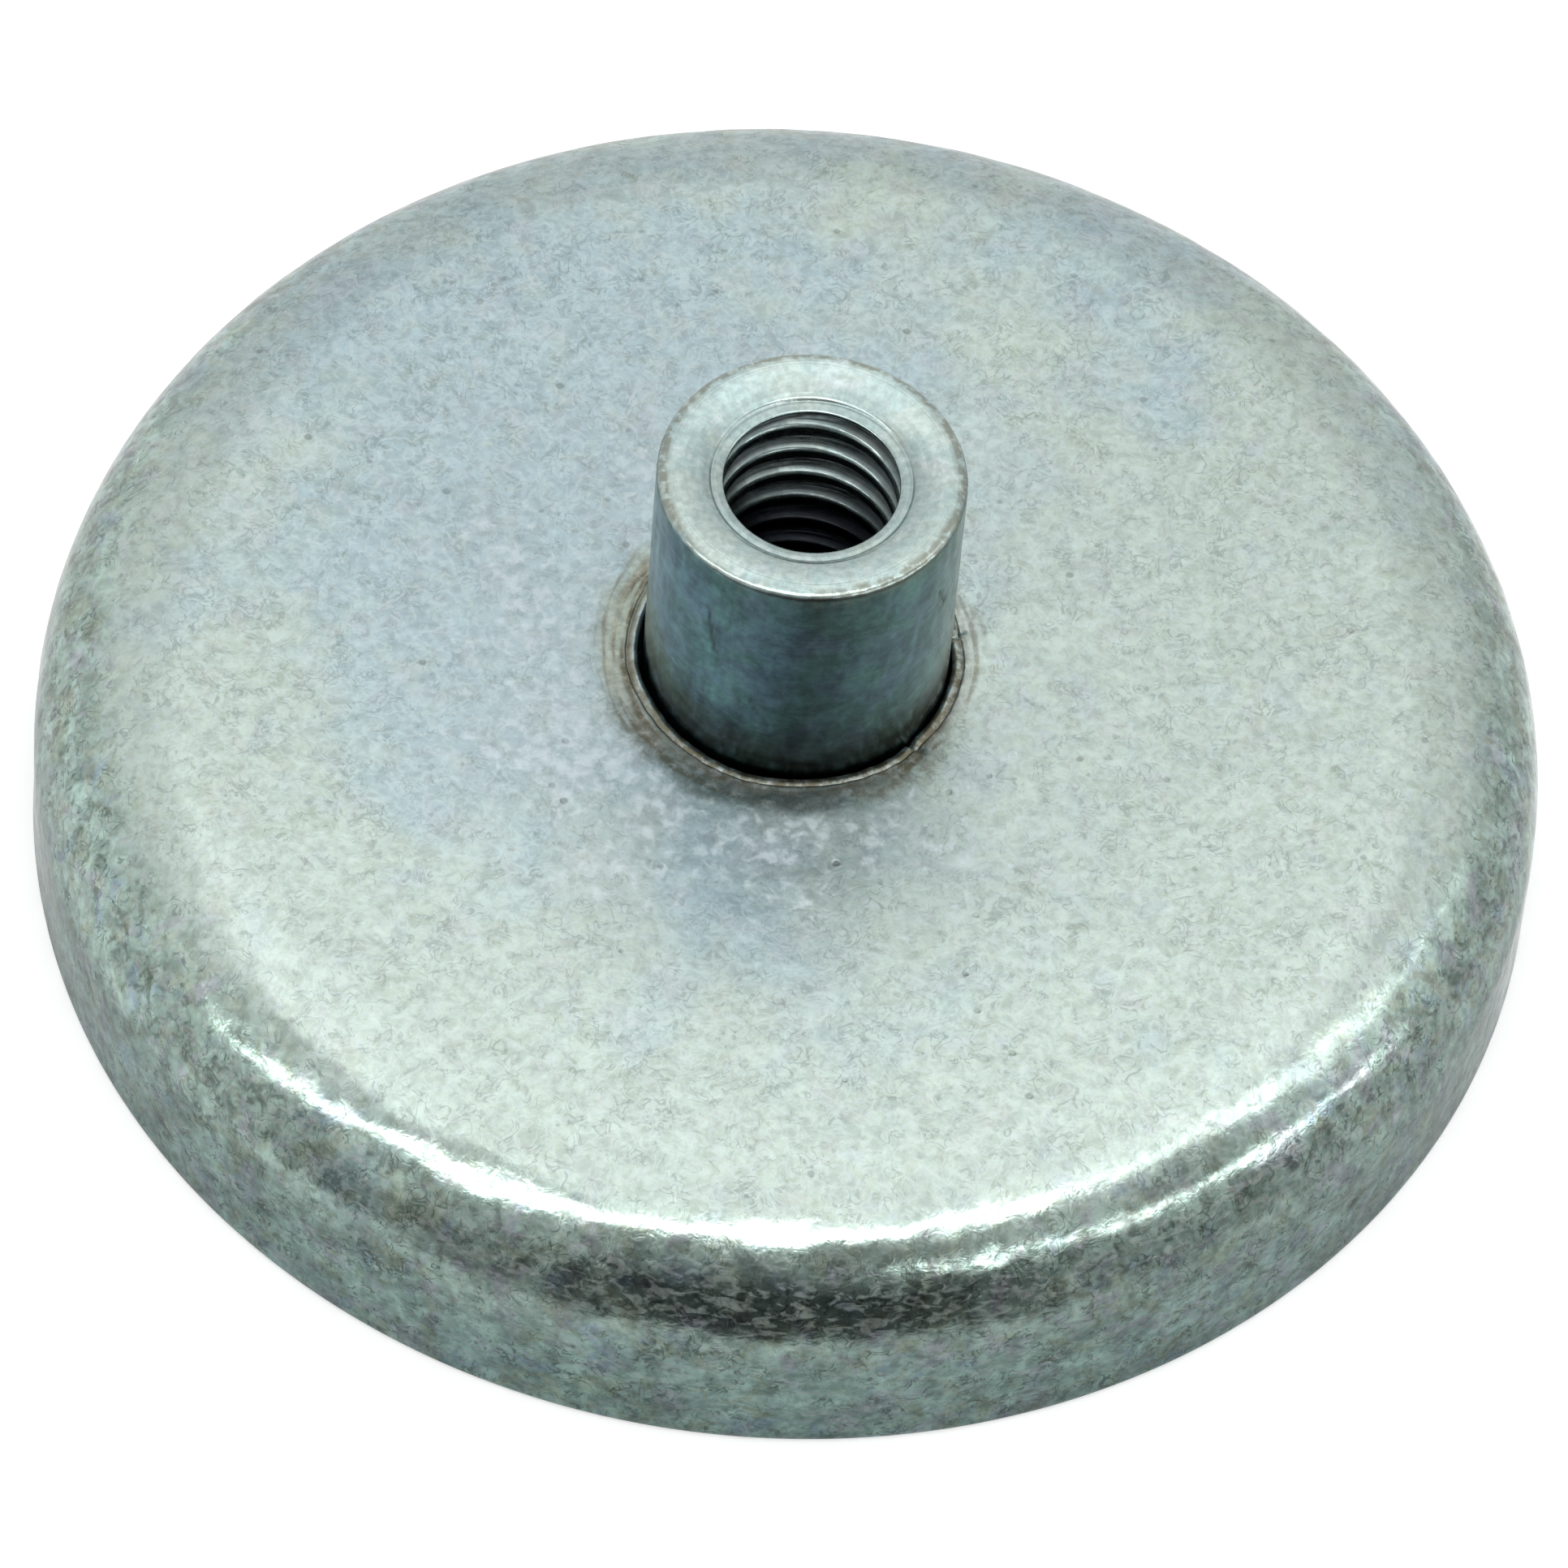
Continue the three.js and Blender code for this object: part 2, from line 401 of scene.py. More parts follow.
def zinc_grain(g, place, wear, strained, blotch, colour):
    """Light and dark blotches, pale curls, and the dark worm lines and spots between grains."""
    colour = g.shade(colour, g.blend(blotch, g.blend(wear, 0.86, 0.66), 1.1))
    cloud = g.span(g.noise(place, 1.7 * MM, 3.0, 0.55, 0.5), 0.34, 0.66)
    colour = g.shade(colour, g.blend(cloud, g.blend(wear, 0.96, 0.76), g.blend(wear, 1.03, 1.16)))

    curl = g.span(g.off(g.noise(place, 0.8 * MM, 1.5, 0.5, 1.6), 0.5), 0.0, 0.08, 1.0, 0.0)
    colour = g.mix(g.times(curl, g.blend(wear, 0.42, 0.15)), colour, PALE_CURL)
    worm = g.span(g.off(g.noise(place, 0.75 * MM, 2.0, 0.5, 1.4), 0.5), 0.0, 0.05, 1.0, 0.0)
    broken = g.span(g.noise(place, 0.9 * MM, 3.0, 0.6), 0.42, 0.60)
    worm = g.times(g.times(worm, broken), g.blend(wear, 0.44, 0.8))
    colour = g.mix(worm, colour, g.mix(wear, WORM_ON_BACK, WORM_ON_WALL))

    spots = g.plus(g.noise(place, 0.7 * MM, 4.0, 0.6, 0.6), g.times(strained, 0.05))
    depth = g.plus(g.blend(wear, 0.12, 0.36), g.times(strained, 0.34))
    return g.mix(g.times(g.span(spots, 0.53, 0.70), depth), colour, DARK_SPOT)


def pressed_ring(g, place, blotch, colour):
    """The ring round the hole: khaki to pink, with brown and teal stain along it."""
    tone = g.mix(g.attribute("coin_pink"), COIN_KHAKI, COIN_PINK)
    colour = g.mix(g.attribute("coin"), colour, g.shade(tone, g.blend(blotch, 0.72, 1.22)))
    dirt = g.span(g.noise(place, 0.45 * MM, 4.0, 0.65), 0.32, 0.58)
    colour = g.mix(g.times(dirt, g.attribute("stain"), True), colour, STAIN_BROWN)
    return g.mix(g.times(dirt, g.attribute("stain_teal"), True), colour, STAIN_TEAL)


def plated_cup():
    made, g = material("zinc_plated_cup")
    place = g.where()
    x, y, z = g.split(place)
    wear = g.attribute("wear")  # 0 on the flat back, 1 on the bend and the wall
    strained = g.attribute("strained")  # 1 along the middle of the bend
    dull = g.attribute("haze")  # 1 in the thickest haze, round the bushing

    blotch = g.span(g.noise(place, 0.55 * MM, 4.0, 0.62, 0.4), 0.32, 0.68)
    colour = zinc_grain(g, place, wear, strained, blotch, zinc_hues(g, place, wear))
    colour = g.tint(colour, WALL_TINT, wear)
    colour = g.tint(colour, LOW_TINT, g.span(z, 3.0 * MM, 7.0 * MM, 1.0, 0.0))

    # White zinc bloom in flecks round the bushing, over a duller skin.
    flecks = g.noise(place, 0.62 * MM, 4.0, 0.6, 0.3)
    threshold = g.span(dull, 0.0, 1.0, 0.76, 0.46, False)
    haze = g.span(g.math("SUBTRACT", flecks, threshold), -0.06, 0.20)
    haze = g.times(haze, g.span(dull, 0.02, 0.15))
    colour = g.mix(g.times(dull, 0.3), colour, DULL_UNDER_HAZE)
    colour = g.mix(g.times(haze, 0.5), colour, ZINC_WHITE)

    # Duller squiggles in the skin, which show light where the metal mirrors something dark.
    drawn = g.noise(g.stretched(place, (0.45, 0.45, 1.0)), 0.30 * MM, 3.0, 0.55, 1.0)
    share = g.plus(g.blend(wear, 0.25, 0.42), g.times(strained, 0.2))
    skin = g.times(g.span(drawn, 0.46, 0.64), share)
    skin = g.plus(skin, g.times(dull, 0.3), True)
    colour = g.mix(g.times(skin, g.blend(wear, 0.1, 0.6)), colour, DULL_SKIN)

    colour = pressed_ring(g, place, blotch, colour)

    # Knocks on the wall, specks, and a lightness that is darker towards the rim the cup stands on and
    # holds painted light and shade.
    knocks = g.span(g.off(g.noise(place, 0.7 * MM, 3.0, 0.55, 1.2), 0.5), 0.03, 0.12, 1.0, 0.0)
    knocks = g.times(knocks, g.attribute("mark"), True)
    colour = g.mix(g.times(knocks, 0.85), colour, DARK_KNOCK)
    specks = g.span(g.cells(place, 1.5 * MM), 0.06, 0.13, 1.0, 0.0)
    specks = g.times(specks, g.span(g.noise(place, 3.1 * MM, 1.0), 0.48, 0.6))
    specks = g.times(specks, g.blend(wear, 1.0, 0.15))
    colour = g.mix(g.times(specks, 0.42), colour, DARK_SPECK)
    # Painted light and shade, and darker towards the rim it stands on.
    colour = g.shade(colour, g.attribute("painted_light_and_darker_low"))

    # The bend is smoother than the back, and dull, stained and pressed places are rougher.
    uneven = g.span(g.noise(place, 0.9 * MM, 3.0, 0.6), 0.3, 0.7, -0.04, 0.05)
    bent = g.span(g.off_axis(x, y), BEND_CENTRE_R + 0.4 * MM, BEND_CENTRE_R + 2.6 * MM)
    roughness = g.plus(g.blend(bent, 0.29, 0.15), uneven)
    stain, coin = g.attribute("stain"), g.attribute("coin")
    for rougher, amount in ((dull, 0.12), (skin, 0.12), (stain, 0.15), (coin, 0.1)):
        roughness = g.plus(roughness, g.times(rougher, amount))

    grain = g.noise(place, 0.40 * MM, 3.0, 0.5, 0.7)
    folds = g.off(g.noise(place, 0.75 * MM, 2.0, 0.5, 1.0), 0.5)
    peel = g.plus(g.times(grain, 0.5), folds)
    normal = g.bump(peel, g.blend(wear, 0.011 * MM, 0.008 * MM))
    normal = g.bump(g.times(drawn, wear), 0.007 * MM, normal)
    normal = g.bump(g.times(specks, -1.0), 0.02 * MM, normal)
    metallic = g.span(g.plus(skin, haze), 0.0, 1.6, 1.0, 0.35, False)
    g.shader(colour, roughness, normal, metallic)
    return made


def neck_colour(g, place, tint):
    """Dark blue-green plate with streaks down the neck and smudges, and painted light and shade: darker
    where it faces the front, lighter to the front left, darker towards its foot.
    """
    side = g.mix(g.span(tint, 0.38, 0.62), NECK_BLUE, NECK_GREEN)
    streaks = g.noise(g.stretched(place, (1.0, 1.0, 0.12)), 0.55 * MM, 3.0, 0.6)
    side = g.shade(side, g.span(streaks, 0.3, 0.7, 0.90, 1.09))
    smudge = g.noise(place, 1.1 * MM, 4.0, 0.6, 0.5)
    side = g.shade(side, g.span(smudge, 0.32, 0.68, 0.68, 1.22))
    # Painted light and shade on the neck.
    return g.shade(side, g.attribute("painted_neck_light_and_shade"))


def top_colour(g, place, tint, x, y, radius):
    """Pale plate with white bloom, with painted shade towards the thread's mouth and to both sides and
    painted light towards the back.
    """
    face = g.mix(g.span(tint, 0.4, 0.62), FACE_BLUE, FACE_GREEN)
    white = g.span(g.noise(place, 0.9 * MM, 3.0, 0.6, 0.4), 0.5, 0.7)
    face = g.mix(g.times(white, 0.5), face, FACE_WHITE)
    # Painted light and shade on the top face.
    tone = g.span(radius, 3.75 * MM, 4.7 * MM, 0.80, 1.04)
    tone = g.times(tone, g.span(g.math("ABSOLUTE", x), 2.2 * MM, 5.0 * MM, 1.0, 0.90))
    tone = g.times(tone, g.span(y, 0.0, 5.0 * MM, 1.0, 1.07))
    return g.shade(face, tone)


def plated_bushing():
    made, g = material("zinc_plated_bushing")
    place = g.where()
    x, y, z = g.split(place)
    radius = g.off_axis(x, y)
    tint = g.noise(place, 1.7 * MM, 3.0, 0.6, 0.4)
    top = top_colour(g, place, tint, x, y, radius)
    colour = g.mix(g.attribute("face"), neck_colour(g, place, tint), top)
    colour = g.shade(colour, g.span(g.noise(place, 0.3 * MM, 3.0, 0.6), 0.3, 0.7, 0.86, 1.12))
    dirt = g.span(g.noise(place, 0.4 * MM, 4.0, 0.6), 0.36, 0.60)
    dirt = g.times(dirt, g.attribute("edge"), True)
    colour = g.mix(g.times(dirt, 0.6), colour, STAIN_BROWN)
    colour = g.mix(g.times(g.attribute("score"), 0.85), colour, SCORE_DARK)
    colour = g.mix(g.attribute("dim"), colour, BORE_SHADE)

    roughness = g.span(g.noise(place, 0.8 * MM, 3.0, 0.6), 0.3, 0.7, 0.18, 0.28)
    turning = g.noise(g.join(radius, g.times(z, 0.5), 0.0), 0.12 * MM, 3.0, 0.55)
    normal = g.bump(turning, 0.010 * MM)
    normal = g.bump(g.noise(place, 0.5 * MM, 2.0, 0.55), 0.008 * MM, normal)
    g.shader(colour, roughness, normal, 1.0)
    return made


def sintered_ferrite():
    made, g = material("ferrite")
    place = g.where()
    grain = g.noise(place, 0.12 * MM, 3.0, 0.7)
    cloud = g.noise(place, 4.0 * MM, 3.0, 0.6)
    colour = g.mix(g.span(cloud, 0.3, 0.7), FERRITE_DARK, FERRITE_LIGHT)
    lines = g.noise(g.stretched(place, (1.0, 0.03, 1.0)), 0.1 * MM, 3.0, 0.7)
    colour = g.mix(g.span(lines, 0.45, 0.75, 0.0, 0.4), colour, GRINDING_LINE)
    dust = g.span(g.noise(place, 1.1 * MM, 4.0, 0.7, 0.5), 0.56, 0.72, 0.0, 0.35)
    colour = g.mix(dust, colour, BROWN_DUST)
    roughness = g.span(grain, 0.3, 0.7, 0.46, 0.68)
    normal = g.bump(grain, 0.006 * MM)
    normal = g.bump(lines, 0.007 * MM, normal)
    g.shader(colour, roughness, normal, 0.0)
    return made


def potting_resin():
    made, g = material("potting_resin")
    place = g.where()
    cloud = g.noise(place, 2.4 * MM, 3.0, 0.6, 0.6)
    colour = g.mix(g.span(cloud, 0.3, 0.7), RESIN_DARK, RESIN_LIGHT)
    filler = g.span(g.noise(place, 0.1 * MM, 3.0, 0.7), 0.55, 0.75, 0.0, 0.3)
    colour = g.mix(filler, colour, RESIN_FILLER)
    roughness = g.span(g.noise(place, 1.2 * MM, 2.0), 0.3, 0.7, 0.26, 0.44)
    normal = g.bump(g.noise(place, 0.9 * MM, 2.0), 0.03 * MM)
    normal = g.bump(g.noise(place, 0.15 * MM, 2.0), 0.004 * MM, normal)
    g.shader(colour, roughness, normal, 0.0, Coat_Weight=0.25, Coat_Roughness=0.2)
    return made


# -------------------- the cup
CUP_COLUMNS = 720
HOLE_OFFSET = -0.05 * MM  # the hole isn't quite on the axis
NOTCH_BEARINGS = (51.0, 104.0)  # two tool nicks in the lip of the hole
NOTCH_DEPTH = 0.25 * MM
COOL_SPOT = (-8.5 * MM, 4.0 * MM)  # middle of the bluer part of the back
COOL_FRONT = (1.0 * MM, -15.0 * MM)  # a smaller bluer part, in front of the bushing
# The middle of a patch of painted light on the back:
PAINTED_LIGHT_FRONT = (0.0, -10.5 * MM)  # a paler part, between that one and the bushing
DENT_DEPTH = 0.035 * MM
DENTS = (  # bearing, radius and width of small knocks, in degrees and millimetres
    (-18.0, 18.8, 0.5),
    (39.0, 21.6, 0.6),
    (-30.0, 22.1, 0.5),
    (150.0, 16.0, 0.5),
    (215.0, 19.5, 0.6),
    (75.0, 24.6, 0.7),
    (-70.0, 25.4, 0.8),
    (20.0, 26.8, 0.6),
)
WALL_DENT_DEPTH = 0.04 * MM
WALL_DENTS = (  # bearing, height, width and slant of marks on the wall
    (-28.0, 4.4, 0.7, 0.5),
    (-25.5, 5.0, 0.5, -0.8),
    (11.0, 2.6, 0.6, 1.5),
    (24.0, 3.4, 0.5, 0.4),
    (52.0, 3.0, 0.6, -1.2),
    (-62.0, 4.0, 0.6, 0.8),
    (118.0, 3.6, 0.8, 0.6),
    (190.0, 4.8, 0.6, -0.5),
    (250.0, 2.4, 0.7, 1.0),
    (-38.5, 3.2, 0.5, -0.6),
    (-8.0, 1.8, 0.5, 0.9),
    (3.5, 3.6, 0.4, -0.3),
    (18.5, 1.7, 0.55, 1.2),
    (33.0, 1.9, 0.4, -0.2),
    (41.0, 4.1, 0.4, 0.6),
    (-50.0, 2.1, 0.5, 0.5),
)


def cup_profile():
    coin_level = BACK - COIN_DEPTH
    coin_outside = COIN_R + 0.4 * MM
    points = arc(CUP_R - EDGE, EDGE, EDGE, -90.0, 0.0, 5)[:-1]
    points += line(CUP_R, EDGE, CUP_R, BEND_CENTRE_Z, 22)
    points += arc(BEND_CENTRE_R, BEND_CENTRE_Z, BEND_R, 0.0, 90.0, 56)[:-1]
    points += line(BEND_CENTRE_R, BACK, coin_outside, BACK, 60)
    points += line(coin_outside, BACK, HOLE_R + LIP_WIDTH, BACK, 28)
    for t in np.linspace(0.0, 1.0, 14):
        rise = math.sin(math.pi * min(0.8 * t, 1.0)) ** 1.5
        points.append((HOLE_R + LIP_WIDTH * (1.0 - t), coin_level + (LIP_TOP - coin_level) * rise))
    points += line(HOLE_R, BACK - 0.2 * MM, HOLE_R, FLOOR_UNDER_BACK + EDGE, 8)
    points += [(HOLE_R, FLOOR_UNDER_BACK + EDGE), (HOLE_R + EDGE, FLOOR_UNDER_BACK)]
    points += arc(BEND_CENTRE_R, BEND_CENTRE_Z, BEND_R - SHEET, 90.0, 0.0, 10)
    points += line(BORE_R, BEND_CENTRE_Z - 0.5 * MM, BORE_R, EDGE, 5)
    points += arc(BORE_R + EDGE, EDGE, EDGE, 180.0, 270.0, 4)
    return points


def on_outside(r, z):
    """True on the outer skin of the back, the bend and the wall."""
    from_bend = np.hypot(np.maximum(r - BEND_CENTRE_R, 0.0), np.maximum(z - BEND_CENTRE_Z, 0.0))
    return from_bend > BEND_R - 0.5 * SHEET


def back_or_bend(r, z):
    """1 on the outside of the back, 0 inside the cup and in the hole."""
    return 1.0 * (z > FLOOR_UNDER_BACK + 0.8 * SHEET) * (r > HOLE_R - 0.05 * MM)


def coin_edge(theta):
    """Outer radius of the pressed ring, which is wider on its left than on its right."""
    wobble = ripple(theta, 0.0, 9.0 * MM, 15)
    return COIN_R - (0.25 + 0.25 * np.cos(theta) + 0.04 * wobble) * MM


def streaks_round(r, theta, seed):
    """Noise drawn out along circles about the axis."""
    ring = np.stack([1.6 * MM * np.cos(theta), 1.6 * MM * np.sin(theta), 3.0 * r], axis=-1)
    return mottle(ring, 0.7 * MM, seed)


def press_waves(r, z, theta):
    """Depth below the ideal skin: the back is a little wavy, the bend more so, with small knocks."""
    along = r - z
    bend = smoothstep(0.0, 3.0 * MM, r - BEND_CENTRE_R) * smoothstep(1.0 * MM, 4.0 * MM, z)
    wave = 0.010 * ripple(theta, along, 9.0 * MM, 3) + 0.004 * ripple(theta, along, 3.0 * MM, 4)
    draw = 0.007 * ripple(theta, along, 3.4 * MM, 5) + 0.003 * ripple(theta, along, 1.6 * MM, 6)
    sink = (0.03 + wave * 0.6 * (1.0 - bend) + draw * bend) * MM
    for degrees, radius, width in DENTS:
        across = turn_gap(theta, bearing(degrees)) * radius * MM
        reach = np.hypot(across, r - radius * MM) / (width * MM)
        sink = sink + DENT_DEPTH * np.exp(-reach * reach * 3.0)
    return sink


def wall_reaches(z, theta):
    """For each mark on the wall, how far every place is from it, measured by that mark's width."""
    for degrees, height, width, slant in WALL_DENTS:
        across = turn_gap(theta, bearing(degrees)) * CUP_R
        up = z - height * MM
        yield np.hypot(across + slant * up, 0.6 * (up - slant * across)) / (1.35 * width * MM)


def form_hole(r, z, theta, ring, swirl, near, shift_r, shift_z):
    """Adds the hole's edge to both shifts: an uneven pressed ring, a ragged lip and two nicks."""
    inside_ring = smoothstep(0.0, 1.1 * MM, ring + 0.4 * MM - r)
    beyond_lip = smoothstep(HOLE_R + 0.9 * LIP_WIDTH, HOLE_R + 1.1 * LIP_WIDTH, r)
    pressed = COIN_DEPTH * inside_ring * (0.20 + 0.07 * swirl) * beyond_lip
    shift_z = shift_z - pressed * back_or_bend(r, z)

    ragged = 0.02 * ripple(theta, 0.0, 14.0 * MM, 11) + 0.008 * ripple(theta, 0.0, 3.0 * MM, 12)
    shift_r = shift_r + near * (ragged - 0.12) * MM
    lip = smoothstep(HOLE_R + LIP_WIDTH, HOLE_R + 0.1 * MM, r) * (z > BACK - 0.3 * MM)
    uneven = 0.5 + 0.5 * np.clip(ripple(theta, 0.0, 16.0 * MM, 13), -1.0, 1.0)
    sunken = np.exp(-((turn_gap(theta, bearing(5.0)) / 1.1) ** 4))
    shift_z = shift_z - lip * np.maximum(0.25 + 0.75 * uneven, 1.7 * sunken) * 0.09 * MM
    for degrees in NOTCH_BEARINGS:
        across = turn_gap(theta, bearing(degrees)) * HOLE_R
        nick = bell(across, 0.16 * MM) * smoothstep(0.9 * MM, 0.1 * MM, r - HOLE_R)
        shift_z = shift_z - nick * NOTCH_DEPTH * (z > BACK - 0.5 * MM)
    return shift_r, shift_z


def from_spot(points, spot):
    """Distance from a place on the back, seen from above."""
    return np.hypot(points[..., 0] - spot[0], points[..., 1] - spot[1])


def paint_plate(piece, points, r, z, lean, mark, outside):
    """Numbers for the zinc: where it is worn, marked, strained and warmer in hue, and a lightness that
    is darker low on the wall and holds painted light and shade.
    """
    out_and_down = r - BEND_CENTRE_R + BEND_CENTRE_Z - np.minimum(z, BEND_CENTRE_Z)
    wall = smoothstep(2.4 * MM, 4.7 * MM, out_and_down) * outside
    store(piece, "wear", wall)
    store(piece, "mark", mark * wall)
    store(piece, "strained", bell(lean - math.radians(58.0), math.radians(15.0)) * outside)

    x, y = points[..., 0], points[..., 1]
    warm = smoothstep(5.0 * MM, 20.0 * MM, from_spot(points, COOL_SPOT))
    warm = warm + 0.3 * mottle(points, 7.0 * MM, 3.0)
    warm = warm - 0.5 * smoothstep(4.0 * MM, 20.0 * MM, y)
    warm = warm - 0.45 * bell(from_spot(points, COOL_FRONT), 6.0 * MM)
    store(piece, "warm", np.clip(warm, 0.0, 1.0))

    # Darker towards the rim the cup stands on.
    darker_low = 0.78 + 0.22 * smoothstep(0.0, 3.0 * MM, z + 0.6 * MM * mottle(points, 2.0 * MM, 30.0))
    # Painted light and shade on the back: lighter at the front and darker behind, darker to both sides,
    # and a painted paler patch in front of the bushing; the bend and the wall get none of it.
    tone = 0.985 - 0.085 * y / (20.0 * MM)
    aside = smoothstep(5.0 * MM, 20.0 * MM, np.abs(x))
    tone = tone - 0.05 * aside * smoothstep(-18.0 * MM, 0.0, y)
    tone = tone + 0.17 * bell(from_spot(points, PAINTED_LIGHT_FRONT), 4.0 * MM)
    tone = tone - (tone - 1.0) * wall
    # Painted shade: half as bright inside the cup and low in the hole.
    store(piece, "painted_light_and_darker_low", np.where(outside, darker_low * tone, 0.5))


def paint_hole(piece, points, r, theta, ring, swirl, on_back):
    """Numbers for the haze round the bushing, and for the pressed ring and its stains."""
    round_bushing = smoothstep(6.9 * MM, 8.0 * MM, r) * smoothstep(20.0 * MM, 8.0 * MM, r)
    leftward = 0.75 - 0.35 * np.cos(theta - math.radians(35.0))
    haze = round_bushing * leftward * (0.9 + 0.7 * mottle(points, 4.0 * MM, 8.0))
    store(piece, "haze", np.clip(haze, 0.0, 1.0) * on_back)

    jitter = 0.16 * MM * mottle(points, 1.6 * MM, 5.0)
    coin = smoothstep(0.55 * MM, -0.65 * MM, r + 2.5 * jitter - ring)
    coin *= smoothstep(HOLE_R + 0.12 * MM, HOLE_R + 0.3 * MM, r) * on_back
    leftness = np.clip(-np.cos(theta), -1.0, 1.0)
    fade = 0.7 + 0.2 * leftness + 0.3 * swirl - 0.3 * near_bearing(theta, 0.0, 0.7)
    store(piece, "coin", np.clip(coin * fade, 0.0, 1.0))
    front = 0.5 + 0.5 * np.cos(theta - bearing(30.0))
    store(piece, "coin_pink", np.clip(front + 0.5 * swirl, 0.0, 1.0))

    rim = 0.55 * bell(r + 2.5 * jitter - ring + 0.1 * MM, 0.34 * MM)
    middle = bell(r - jitter - ring + 0.75 * MM, 0.22 * MM)
    brown = (rim + middle) * np.clip(0.35 + 3.0 * swirl, 0.0, 1.0)
    at_lip = smoothstep(HOLE_R + 0.7 * MM, HOLE_R + 0.2 * MM, r)
    brown += 1.4 * at_lip * np.clip(front + 0.1, 0.0, 1.0)
    patch = near_bearing(theta, -38.0, 0.4) + 0.8 * near_bearing(theta, 42.0, 0.35)
    brown += 0.7 * patch * bell(r - 3.0 * jitter - ring + 0.2 * MM, 0.5 * MM)
    store(piece, "stain", np.clip(brown, 0.0, 1.0) * on_back)
    teal = bell(r + 3.0 * jitter - ring - 0.05 * MM, 0.40 * MM) * near_bearing(theta, -12.0, 0.6)
    store(piece, "stain_teal", np.clip(0.65 * teal, 0.0, 1.0) * on_back)


def make_cup():
    r, z, theta = grid(cup_profile(), CUP_COLUMNS)
    outside = on_outside(r, z)

    sink = press_waves(r, z, theta)
    mark = np.zeros_like(r)
    for reach in wall_reaches(z, theta):
        sink = sink + WALL_DENT_DEPTH * np.exp(-reach * reach * 3.0) * (r > BEND_CENTRE_R)
        mark += np.exp(-reach * reach * 2.0) * outside
    shift = np.where(outside, sink, 0.0) * smoothstep(0.0, 1.0 * MM, z)
    lean = np.arctan2(np.maximum(r - BEND_CENTRE_R, 0.0), np.maximum(z - BEND_CENTRE_Z, 1e-9))
    shift_r = -shift * np.sin(lean) * (r > HOLE_R + 1.0 * MM)
    shift_z = -shift * np.cos(lean) * smoothstep(COIN_R, COIN_R + 2.0 * MM, r)

    ring = coin_edge(theta)
    swirl = streaks_round(r, theta, 14.0)
    near = smoothstep(COIN_R, HOLE_R + LIP_WIDTH, r) * (z > FLOOR_UNDER_BACK)
    shift_r, shift_z = form_hole(r, z, theta, ring, swirl, near, shift_r, shift_z)
    points = place(r + shift_r, np.minimum(z + shift_z, LIP_TOP), theta)
    points[..., 0] += HOLE_OFFSET * near

    piece = new_piece("cup", points, ring_faces(*r.shape, True), plated_cup())
    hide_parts("steel_cup")
    paint_plate(piece, points, r, z, lean, mark, outside)
    paint_hole(piece, points, r, theta, ring, swirl, back_or_bend(r, z))


# -------------------- the bushing
BUSHING_COLUMNS = 256
STEPS_PER_TURN = 16  # rows of the thread's mesh in one pitch
CONE_ROWS = 8
DRILL_SLOPE = math.tan(math.radians(31.0))  # a drill's point of 118 degrees
THREAD_START = TOP - DISH_DEPTH - MOUTH_DEPTH
THREAD_END = TOP - THREAD_DEPTH
BORE_END = TOP - DRILL_DEPTH
SCORE_DEPTH = 0.05 * MM
SCORES = (  # marks on the neck: bearing and depth below the top of both ends, degrees and mm
    (-36.0, 2.6, -32.0, 4.9),
    (-16.0, 6.8, -13.0, 7.6),
    (62.0, 3.0, 66.0, 3.9),
    (160.0, 4.0, 170.0, 5.2),
)


def outer_rows():
    """Pole face, foot, neck and top face, from the axis round to the mouth of the thread."""
    round_r, round_z = 0.52 * MM, 0.36 * MM  # the worn outer edge of the top
    points = line(0.4 * MM, POLE_FACE, FOOT_R - EDGE, POLE_FACE, 24)
    points += arc(FOOT_R - EDGE, POLE_FACE + EDGE, EDGE, -90.0, 0.0, 4)
    points += line(FOOT_R, 1.0 * MM, FOOT_R, FLOOR_UNDER_BACK - EDGE, 6)
    points += arc(FOOT_R - EDGE, FLOOR_UNDER_BACK - EDGE, EDGE, 0.0, 90.0, 4)
    points += line(NECK_R + 0.1 * MM, FLOOR_UNDER_BACK, NECK_R, FLOOR_UNDER_BACK + 0.1 * MM, 1)
    points += line(NECK_R, FLOOR_UNDER_BACK + 0.1 * MM, NECK_R, TOP - round_z, 90)
    for angle in np.radians(np.linspace(0.0, 90.0, 19)[:-1]):
        r = NECK_R - round_r * (1.0 - math.cos(angle))
        points.append((r, TOP - round_z * (1.0 - math.sin(angle))))
    rim, mouth, low = NECK_R - RIM_WIDTH, THREAD_MINOR_R + MOUTH_WIDTH, TOP - DISH_DEPTH
    points += line(NECK_R - round_r, TOP, rim, TOP, 4)
    for t in np.linspace(0.0, 1.0, 50)[:-1]:
        points.append((rim + (mouth - rim) * t, TOP - DISH_DEPTH * t**1.8))
    for angle in np.radians(np.linspace(90.0, 0.0, 12)):
        r = THREAD_MINOR_R + MOUTH_WIDTH * (1.0 - math.cos(angle))
        points.append((r, low - MOUTH_DEPTH * (1.0 - math.sin(angle))))
    return points


def face_relief(r):
    """Depth of the top below its ideal shape: turning marks, and a line round the mouth."""
    swell = 0.02 * MM * bell(r - 4.35 * MM, 0.16 * MM)
    mouth_line = 0.05 * MM * bell(r - THREAD_MINOR_R - MOUTH_WIDTH, 0.055 * MM)
    ridge = 0.003 * MM * np.sin(r / (0.06 * MM)) * (0.6 + 0.4 * np.sin(r / (0.23 * MM) + 1.0))
    return swell + mouth_line + ridge + 0.006 * MM


